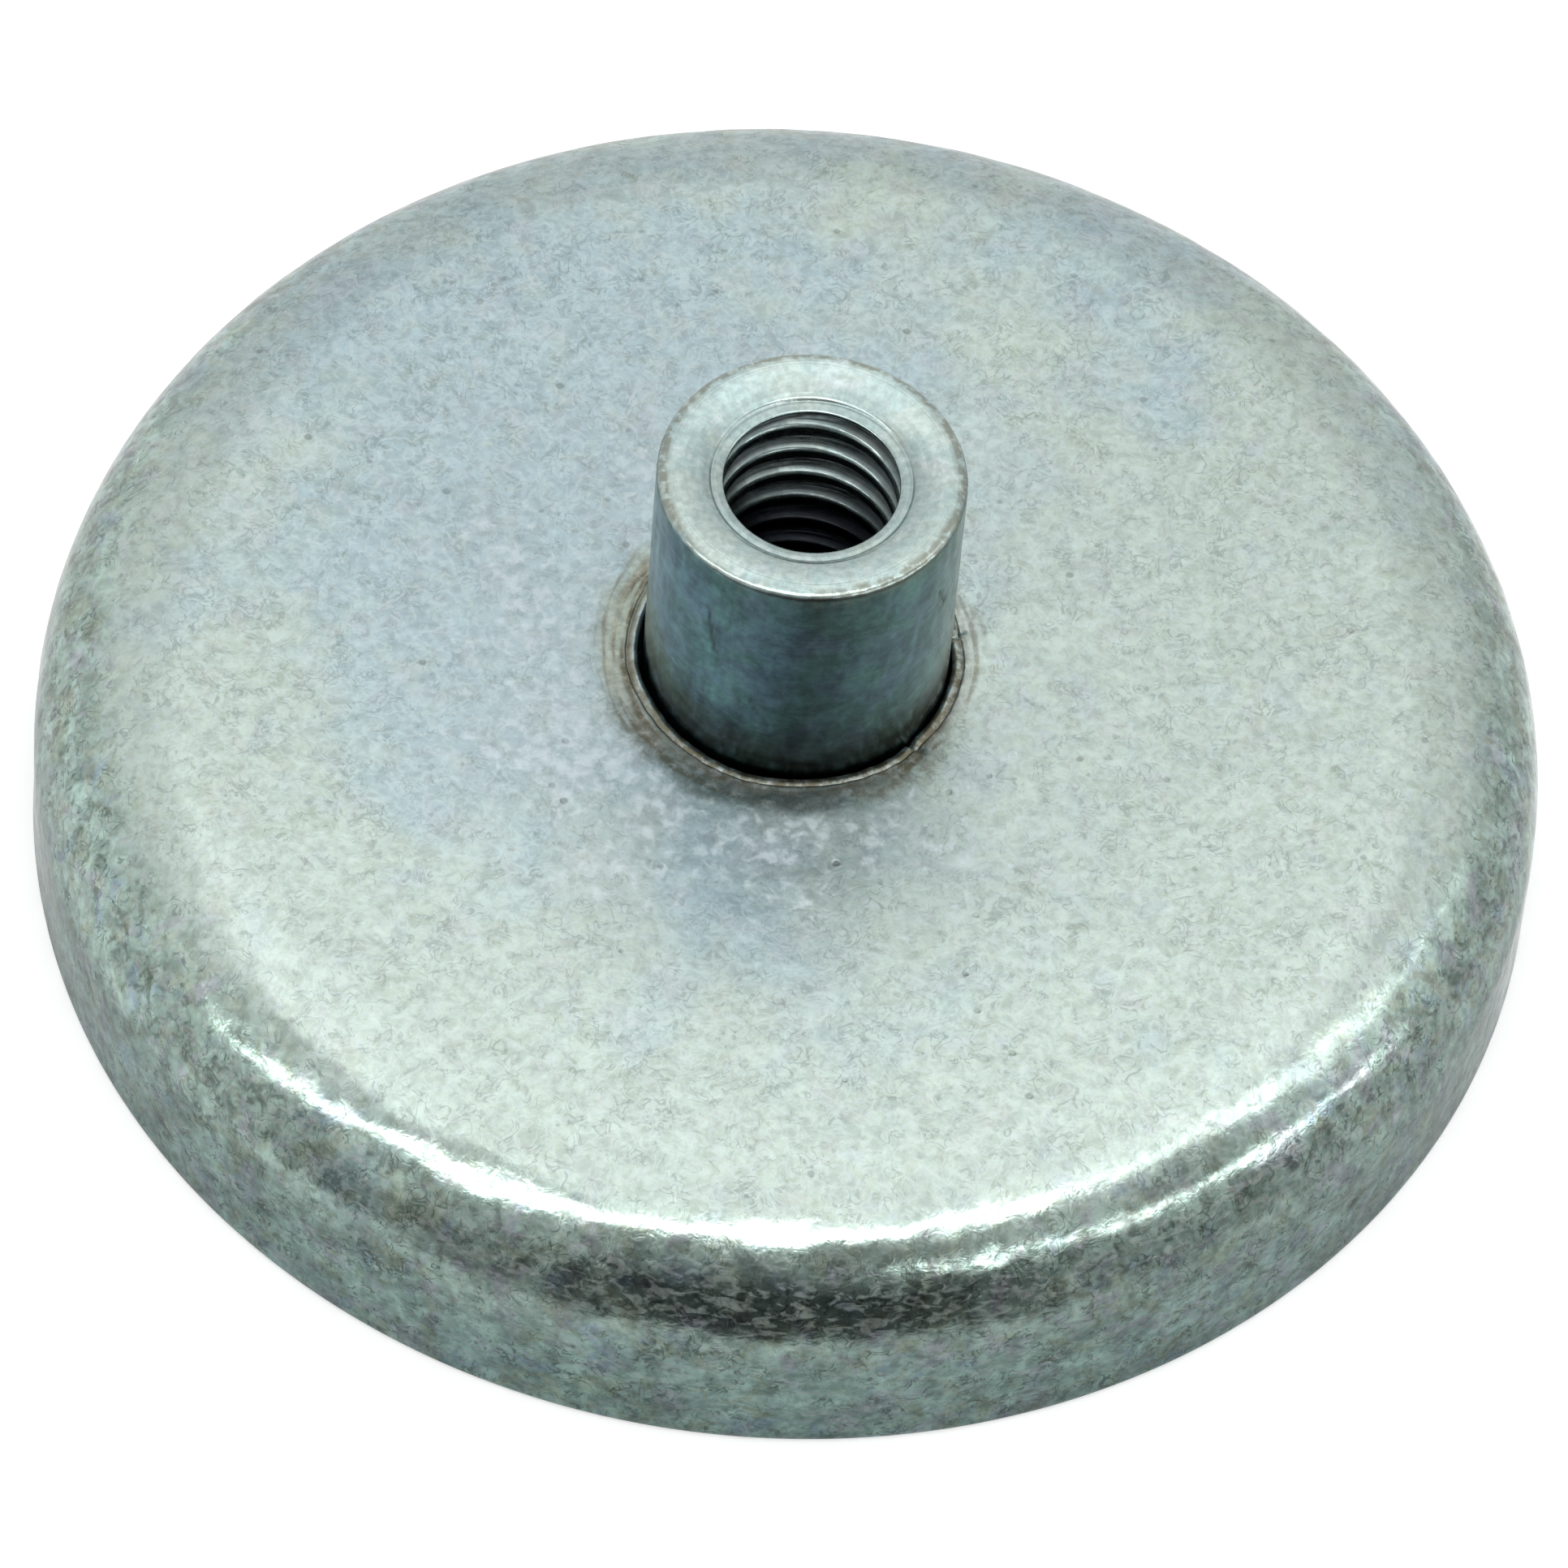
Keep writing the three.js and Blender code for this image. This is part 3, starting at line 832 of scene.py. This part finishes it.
def scores(theta, z, width, fade):
    """Strength of the neck's marks, as lines of the given width that fade out past both ends."""
    total = np.zeros_like(z)
    for bearing_a, down_a, bearing_b, down_b in SCORES:
        t = np.clip((TOP - z - down_a * MM) / ((down_b - down_a) * MM), 0.0, 1.0)
        middle = bearing(bearing_a) + math.radians(bearing_b - bearing_a) * t
        across = turn_gap(theta, middle) * NECK_R
        from_middle = np.abs(TOP - z - 0.5 * (down_a + down_b) * MM)
        past = np.maximum(from_middle - 0.5 * (down_b - down_a) * MM, 0.0)
        total += np.exp(-((across / width) ** 2) - (past / fade) ** 2)
    return total


def thread_radius(theta, z):
    """Right-handed internal thread, running in at the mouth and out at the bottom."""
    phase = ((z - THREAD_START) / THREAD_PITCH - theta / (2.0 * math.pi)) % 1.0
    off_root = np.abs(phase - 0.5)
    depth = 1.0 - np.clip((off_root - 0.06) / (0.375 - 0.06), 0.0, 1.0)
    depth = depth * depth * (3.0 - 2.0 * depth) * 0.35 + depth * 0.65
    run_in = smoothstep(0.0, 0.5 * THREAD_PITCH, THREAD_START - z)
    run_out = smoothstep(0.0, 1.5 * THREAD_PITCH, z - THREAD_END)
    return THREAD_MINOR_R + (THREAD_MAJOR_R - THREAD_MINOR_R) * depth * run_in * run_out


def thread_mesh(first):
    """Points of the threaded bore, numbered from first, and faces that join them to the row before."""
    step = THREAD_PITCH / STEPS_PER_TURN
    rows = math.ceil((THREAD_START - BORE_END) / step) + STEPS_PER_TURN + 1
    row, column = np.meshgrid(np.arange(1, rows), np.arange(BUSHING_COLUMNS), indexing="ij")
    theta = 2.0 * math.pi * column / BUSHING_COLUMNS
    z = THREAD_START + THREAD_PITCH * column / BUSHING_COLUMNS - row * step
    z = np.clip(z, BORE_END, THREAD_START)

    def corner(i, j):
        """Vertex of row i at column j, where row 0 is the mouth and the columns climb a pitch a turn."""
        if j == BUSHING_COLUMNS:
            i, j = max(i - STEPS_PER_TURN, 0), 0
        return first + (i - 1) * BUSHING_COLUMNS + j

    faces = [
        (corner(i, j), corner(i, j + 1), corner(i + 1, j + 1), corner(i + 1, j))
        for i in range(rows - 1)
        for j in range(BUSHING_COLUMNS)
    ]
    return place(thread_radius(theta, z), z, theta), faces


def drill_cone(theta):
    """Rows of the drill's point, down to a small ring round its tip."""
    r = np.linspace(1.0, 0.12, CONE_ROWS)[:, None] * THREAD_MINOR_R * np.ones((1, BUSHING_COLUMNS))
    z = BORE_END - (THREAD_MINOR_R - r) * DRILL_SLOPE
    return place(r, z, theta * np.ones_like(r))


def paint_bushing(piece):
    """Numbers for the pale faces, the neck's painted light and shade, shaded thread, stained edge and
    scores.
    """
    made = np.array([v.co for v in piece.data.vertices])
    radius = np.hypot(made[:, 0], made[:, 1])
    height = made[:, 2]
    angle = np.arctan2(made[:, 1], made[:, 0])

    at_top = smoothstep(TOP - 0.34 * MM, TOP - 0.12 * MM, height)
    in_bore = (radius < THREAD_MAJOR_R + 0.05 * MM) & (height > 1.0 * MM)
    in_bore &= height < TOP - DISH_DEPTH - 0.8 * MOUTH_DEPTH
    dished = (radius < NECK_R - 0.3 * MM) & (height > THREAD_START - 0.01 * MM)
    foot = height < FLOOR_UNDER_BACK + 0.2 * MM
    store(piece, "face", np.where(in_bore | dished, 1.0, np.where(foot, 0.7, at_top)))

    # Painted shade towards the neck's foot by the cup, and where the neck faces the front, with painted
    # light to the front left.
    foot_shade = smoothstep(BACK + 3.5 * MM, BACK, height + 0.5 * MM * mottle(made, 2.0 * MM, 50.0))
    painted_neck_light_and_shade = 1.0 + 0.3 * near_bearing(angle, -62.0, 0.45) - 0.72 * near_bearing(angle, 6.0, 0.50)
    store(piece, "painted_neck_light_and_shade", np.where(foot, 1.0, painted_neck_light_and_shade * (1.0 - 0.55 * foot_shade)))

    crest = smoothstep(0.3, 0.0, (radius - THREAD_MINOR_R) / (THREAD_MAJOR_R - THREAD_MINOR_R))
    down = smoothstep(TOP - 4.2 * MM, TOP - 6.8 * MM, height)
    lit = crest * (1.0 - 0.97 * down) + (1.0 - crest) * 0.10 * (1.0 - down)
    store(piece, "dim", np.where(in_bore, 1.0 - lit, 0.0))

    brim = bell(radius - NECK_R + 0.2 * MM, 0.2 * MM)
    brim *= smoothstep(TOP - 0.9 * MM, TOP - 0.3 * MM, height)
    brim *= 0.35 + 1.3 * smoothstep(0.25, 1.0, np.abs(turn_gap(angle, bearing(-25.0))))
    store(piece, "edge", brim)

    on_neck = (radius > NECK_R - 0.4 * MM) & (height > BACK - 1.0 * MM)
    store(piece, "score", np.clip(scores(angle, height, 0.09 * MM, 0.12 * MM) * on_neck, 0.0, 1.0))


def make_bushing():
    r, z, theta = grid(outer_rows(), BUSHING_COLUMNS)

    # Turning marks on the top face, scores on the neck.
    face = (r < NECK_R - 0.6 * RIM_WIDTH) & (z > THREAD_START)
    z = z - face * face_relief(r)
    neck = (z > FLOOR_UNDER_BACK + 0.5 * MM) & (r > NECK_R - 0.4 * MM)
    score = np.clip(scores(theta, z, 0.11 * MM, 0.15 * MM), 0.0, 1.0) * neck
    wavy = 0.006 * MM * ripple(theta, z, 3.0 * MM, 31)
    r = r - score * SCORE_DEPTH - neck * (0.012 * MM + wavy)
    outer = place(r, z, theta)
    faces = ring_faces(outer.shape[0], BUSHING_COLUMNS, False)

    thread_first = outer.shape[0] * BUSHING_COLUMNS
    thread, thread_faces = thread_mesh(thread_first)
    cone_first = thread_first + thread.shape[0] * BUSHING_COLUMNS
    cone_faces = np.array(ring_faces(CONE_ROWS, BUSHING_COLUMNS, False)) + cone_first
    faces += thread_faces + cone_faces.tolist()

    # The drill's tip and the pole face, both closed on the axis.
    tip = cone_first + CONE_ROWS * BUSHING_COLUMNS
    tip_ring = tip - BUSHING_COLUMNS
    ends = np.array([[0.0, 0.0, BORE_END - THREAD_MINOR_R * DRILL_SLOPE], [0.0, 0.0, POLE_FACE]])
    for j in range(BUSHING_COLUMNS):
        k = (j + 1) % BUSHING_COLUMNS
        faces.append((tip_ring + j, tip_ring + k, tip))
        faces.append((k, j, tip + 1))

    rows = [part.reshape(-1, 3) for part in (outer, thread, drill_cone(theta[:1]), ends)]
    piece = new_piece("bushing", np.concatenate(rows), faces, plated_bushing(), weld=0.0002 * MM)
    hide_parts("threaded_bushing")
    paint_bushing(piece)


# -------------------- inside the cup
def make_magnet():
    low, high = magnet_low.z, magnet_high.z
    points = line(MAGNET_HOLE_R + EDGE, low, MAGNET_R - EDGE, low, 60)
    points += arc(MAGNET_R - EDGE, low + EDGE, EDGE, -90.0, 0.0, 3)
    points += line(MAGNET_R, 1.0 * MM, MAGNET_R, high - MAGNET_BEVEL, 6)
    points += line(MAGNET_R, high - MAGNET_BEVEL, MAGNET_R - MAGNET_BEVEL, high, 3)
    points += line(MAGNET_R - MAGNET_BEVEL, high, MAGNET_HOLE_R + EDGE, high, 8)
    points += line(MAGNET_HOLE_R + EDGE, high, MAGNET_HOLE_R, high - EDGE, 2)
    points += line(MAGNET_HOLE_R, high - EDGE, MAGNET_HOLE_R, low + EDGE, 8)
    points += arc(MAGNET_HOLE_R + EDGE, low + EDGE, EDGE, 180.0, 250.0, 3)
    r, z, theta = grid(points, 480)

    # Chipped corners on the working face.
    chips = np.clip(mottle(place(r, z, theta), 0.9 * MM, 40.0, 2) - 0.25, 0.0, 1.0)
    corner = smoothstep(low + 0.5 * MM, low + 0.05 * MM, z)
    corner *= smoothstep(0.9 * MM, 0.1 * MM, np.minimum(MAGNET_R - r, r - MAGNET_HOLE_R))
    z = z + chips * corner * 0.22 * MM
    piece = new_piece("magnet_ring", place(r, z, theta), ring_faces(*r.shape, True), sintered_ferrite())
    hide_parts("ring_magnet")


CLIMB = 0.09 * MM  # how far the resin creeps along both walls
CLIMB_WIDTH = 0.28 * MM


def resin_face(points, r, inner, outer, level):
    """Height of a resin face that looks down: at level by both walls, above it and pitted between."""
    off_wall = np.minimum(r - inner, outer - r)
    bubbles = np.clip(mottle(points, 0.8 * MM, 60.0, 2) - 0.42, 0.0, 1.0) * 0.3 * MM
    swell = 0.02 * MM * (1.0 + mottle(points, 3.0 * MM, 61.0, 2))
    middle = smoothstep(0.1 * MM, 0.5 * MM, off_wall)
    return level - CLIMB * np.exp(-off_wall / CLIMB_WIDTH) + middle * (bubbles + swell) + CLIMB


def make_resin(name, node, profile, inner, outer, level, resin):
    r, z, theta = grid(profile, 420)
    on_face = z < level + 0.01 * MM
    z = np.where(on_face, resin_face(place(r, z, theta), r, inner, outer, level), z)
    piece = new_piece(name, place(r, z, theta), ring_faces(*r.shape, True), resin)
    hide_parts(node)


def make_resins(resin):
    inner, outer, level = MAGNET_R + RESIN_FIT, outer_high.x, outer_low.z
    profile = line(inner, level, outer, level, 16)
    profile += line(outer, level, outer, BEND_CENTRE_Z, 6)
    profile += arc(BEND_CENTRE_R, BEND_CENTRE_Z, BEND_R - SHEET - RESIN_FIT, 0.0, 45.0, 6)
    profile += line(inner, magnet_high.z - MAGNET_BEVEL - 2.0 * RESIN_FIT, inner, level, 6)
    make_resin("outer_potting", "outer_potting_ring", profile, inner, outer, level, resin)

    inner, outer, level = FOOT_R + RESIN_FIT, inner_high.x, inner_low.z
    profile = line(inner, level, outer, level, 20)
    profile += line(outer, level, outer, inner_high.z, 6)
    profile += line(outer, inner_high.z, inner, inner_high.z, 4)
    profile += line(inner, inner_high.z, inner, level, 6)
    make_resin("inner_potting", "inner_potting_ring", profile, inner, outer, level, resin)


# -------------------- studio
CAMERA_ELEVATION = math.radians(53.64)
CAMERA_ROLL = math.radians(5.27)
CAMERA_DISTANCE = 16.0 * CUP_R
CAMERA_LENS = 274.3
AIM_RIGHT, AIM_UP = 0.11 * MM, 1.24 * MM  # from the origin to the middle of the view
FLOOR_REACH = 3.0
FLOOR_GAP = 0.02 * MM  # keeps the floor clear of the rim
FLOOR_GLOW = 0.42
BACKDROP = (0.98, 0.98, 0.98, 1.0)  # what the camera sees past the floor


def make_camera():
    forward = Vector((0.0, math.cos(CAMERA_ELEVATION), -math.sin(CAMERA_ELEVATION)))
    level_up = Vector((0.0, math.sin(CAMERA_ELEVATION), math.cos(CAMERA_ELEVATION)))
    turn = Matrix.Rotation(-CAMERA_ROLL, 3, forward)
    right, up = turn @ Vector((1.0, 0.0, 0.0)), turn @ level_up
    spot = -CAMERA_DISTANCE * forward
    look = (AIM_RIGHT * right + AIM_UP * up - spot).normalized()
    right = look.cross(up).normalized()
    up = right.cross(look)
    data = bpy.data.cameras.new("camera")
    data.lens, data.sensor_width = CAMERA_LENS, 36.0
    data.clip_start, data.clip_end = 0.01, 20.0
    camera = bpy.data.objects.new("camera", data)
    camera.matrix_world = Matrix.Translation(spot) @ Matrix((right, up, -look)).transposed().to_4x4()
    bpy.context.scene.collection.objects.link(camera)
    bpy.context.scene.camera = camera


def flat_stage(name, outline, height, made):
    mesh = bpy.data.meshes.new(name)
    mesh.from_pydata([(x, y, height) for x, y in outline], [], [tuple(range(len(outline)))])
    mesh.materials.append(made)
    sheet = bpy.data.objects.new(name, mesh)
    bpy.context.scene.collection.objects.link(sheet)
    return sheet


def make_floor():
    made, g = material("pale_floor")
    diffuse = g.add("ShaderNodeBsdfDiffuse")
    g.feed(diffuse.inputs["Color"], (0.8, 0.8, 0.8, 1.0))
    glow = g.add("ShaderNodeEmission")
    g.feed(glow.inputs["Color"], (1.0, 1.0, 1.0, 1.0))
    g.feed(glow.inputs["Strength"], FLOOR_GLOW)
    both = g.add("ShaderNodeAddShader")
    g.feed(both.inputs[0], diffuse.outputs[0])
    g.feed(both.inputs[1], glow.outputs[0])
    g.feed(g.add("ShaderNodeOutputMaterial").inputs["Surface"], both.outputs[0])
    outline = [(x * FLOOR_REACH, y * FLOOR_REACH) for x, y in ((-1, -1), (1, -1), (1, 1), (-1, 1))]
    sheet = flat_stage("floor", outline, cad_low.z - FLOOR_GAP, made)
    sheet.visible_glossy = False


STRIP_HEIGHT = 1.5
STRIPS = (  # name and strength of each lamp, and (x, y, width) along it for a height of 1
    ("main_strip", 4.5, (
        (-2.9, -0.80, 0.26), (-2.0, -0.78, 0.26), (-0.98, -0.79, 0.27), (-0.41, -0.78, 0.25),
        (0.0, -0.68, 0.21), (0.33, -0.61, 0.20), (0.60, -0.41, 0.17),
    )),
    ("end_strip", 1.9, (
        (0.58, -0.40, 0.22), (0.93, -0.14, 0.26), (1.6, 0.16, 0.30), (2.15, 0.42, 0.26),
        (2.5, 0.80, 0.16), (2.6, 1.2, 0.08),
    )),
    ("side_strip", 4.2, (
        (0.62, -1.55, 0.12), (0.88, -1.61, 0.22), (1.22, -1.51, 0.28), (1.75, -1.45, 0.34),
        (2.42, -1.32, 0.46), (3.1, -1.07, 0.54), (4.7, -0.82, 0.60), (6.5, -0.50, 0.9),
        (9.5, -0.10, 1.2),
    )),
)


def ribbon(rows):
    """A bent strip along rows of (x, y, width), as a closed outline."""
    middle = np.array(rows)[:, :2]
    along = np.gradient(middle, axis=0)
    across = np.stack([-along[:, 1], along[:, 0]], axis=1) / np.linalg.norm(along, axis=1)[:, None]
    half = 0.5 * np.array(rows)[:, 2:] * across
    return np.concatenate([middle + half, (middle - half)[::-1]])


def make_strips():
    """Bright tubes of the overhead light, on the camera's side and to the right."""
    for name, strength, rows in STRIPS:
        made, g = material(name)
        glow = g.add("ShaderNodeEmission")
        g.feed(glow.inputs["Strength"], strength)
        g.feed(g.add("ShaderNodeOutputMaterial").inputs["Surface"], glow.outputs[0])
        outline = ribbon(rows) * STRIP_HEIGHT
        sheet = flat_stage(name, outline.tolist(), STRIP_HEIGHT, made)
        sheet.visible_camera = False


# In the functions below x, y and z are the direction from the object, as a unit vector.
def wall_light(g, x, y, z):
    """Grey walls and ground: brighter behind and, at the object's level, to the left."""
    far = g.span(y, -0.7, 0.65, smooth=False)
    behind = g.span(y, 0.48, 0.66, 0.0, g.blend(g.span(x, -0.1, 0.25), 0.42, 0.62))
    beneath = g.plus(g.blend(far, 0.42, 0.49), behind)
    level = g.blend(g.plus(far, g.span(x, 0.0, -1.0, 0.0, 0.4, False), True), 0.50, 0.78)
    walls = g.blend(g.span(z, -0.80, -0.55), beneath, level)
    return g.times(walls, g.span(x, 0.2, 0.9, 1.0, 0.84))


def in_ceiling(g, x, y, z):
    """1 in the ceiling, whose near edges lie along two lines on the plane above the object."""
    up = g.math("MAXIMUM", z, 0.02)
    across, ahead = g.math("DIVIDE", x, up), g.math("DIVIDE", y, up)
    left_edge = g.times(g.math("MINIMUM", across, 0.0), -0.59)
    right_edge = g.times(g.math("MAXIMUM", across, 0.0), 0.45)
    edge = g.math("SUBTRACT", g.plus(left_edge, right_edge), 0.66)
    inside = g.span(g.math("SUBTRACT", ahead, edge), -0.06, 0.08)
    return g.times(inside, g.span(z, 0.2, 0.6))


def right_glow(g, x, y, z):
    """A brighter patch of wall on the right, just above the object's level."""
    glow = g.times(g.span(x, 0.6, 0.93), g.span(z, 0.04, 0.20))
    glow = g.times(glow, g.span(g.off(y, 0.12), 0.1, 0.38, 1.0, 0.0))
    return g.times(glow, 0.35)


def darken_camera_side(g, x, y, z, ceiling, light):
    """A dim part of the room about the camera's bearing, and a nearly black one in its middle."""
    level_part = g.math("SQRT", g.math("SUBTRACT", 1.0001, g.times(z, z)))
    facing = g.math("DIVIDE", g.math("SUBTRACT", g.times(x, 0.12), y), level_part)
    off_ground = g.span(z, -0.42, -0.28)
    dim = g.times(g.span(facing, 0.15, 0.60), g.span(z, 0.02, 0.2, 1.0, 0.0))
    light = g.blend(g.times(dim, off_ground), light, 0.30)
    starts = g.blend(g.span(z, 0.2, 0.45), 0.74, 0.88)
    full = g.blend(g.span(z, 0.0, 0.25), 1.04, 0.94)
    dark = g.times(g.span(facing, starts, full), off_ground)
    dark = g.times(dark, g.span(z, 0.2, 0.78, 1.0, 0.25, False))
    dark = g.times(dark, g.math("SUBTRACT", 1.0, ceiling))
    return g.blend(dark, light, 0.048)


def make_world():
    """A bright diffusing ceiling, grey walls, and a dark room on the camera's side."""
    world = bpy.data.worlds.new("studio")
    bpy.context.scene.world = world
    world.use_nodes = True
    g = Graph(world.node_tree)
    x, y, z = g.split(g.add("ShaderNodeTexCoord").outputs["Generated"])

    # The ceiling is brightest a little short of straight overhead.
    overhead = g.times(g.span(z, 0.72, 0.88, 0.84, 1.27), g.span(z, 0.87, 0.95, 1.0, 0.83))
    ceiling = in_ceiling(g, x, y, z)
    light = g.blend(ceiling, wall_light(g, x, y, z), overhead)
    light = g.plus(light, right_glow(g, x, y, z))
    light = darken_camera_side(g, x, y, z, ceiling, light)

    seen = g.add("ShaderNodeLightPath").outputs["Is Camera Ray"]
    colour = g.mix(seen, g.grey(light), BACKDROP)
    back = g.add("ShaderNodeBackground")
    g.feed(back.inputs["Color"], colour)
    g.feed(g.add("ShaderNodeOutputWorld").inputs["Surface"], back.outputs[0])


make_camera()
make_world()
make_strips()
make_floor()
make_cup()
make_bushing()
make_magnet()
resin_material = potting_resin()
make_resins(resin_material)
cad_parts["bond_film"].material_slots[0].material = resin_material

bpy.context.scene.view_settings.view_transform = "Standard"
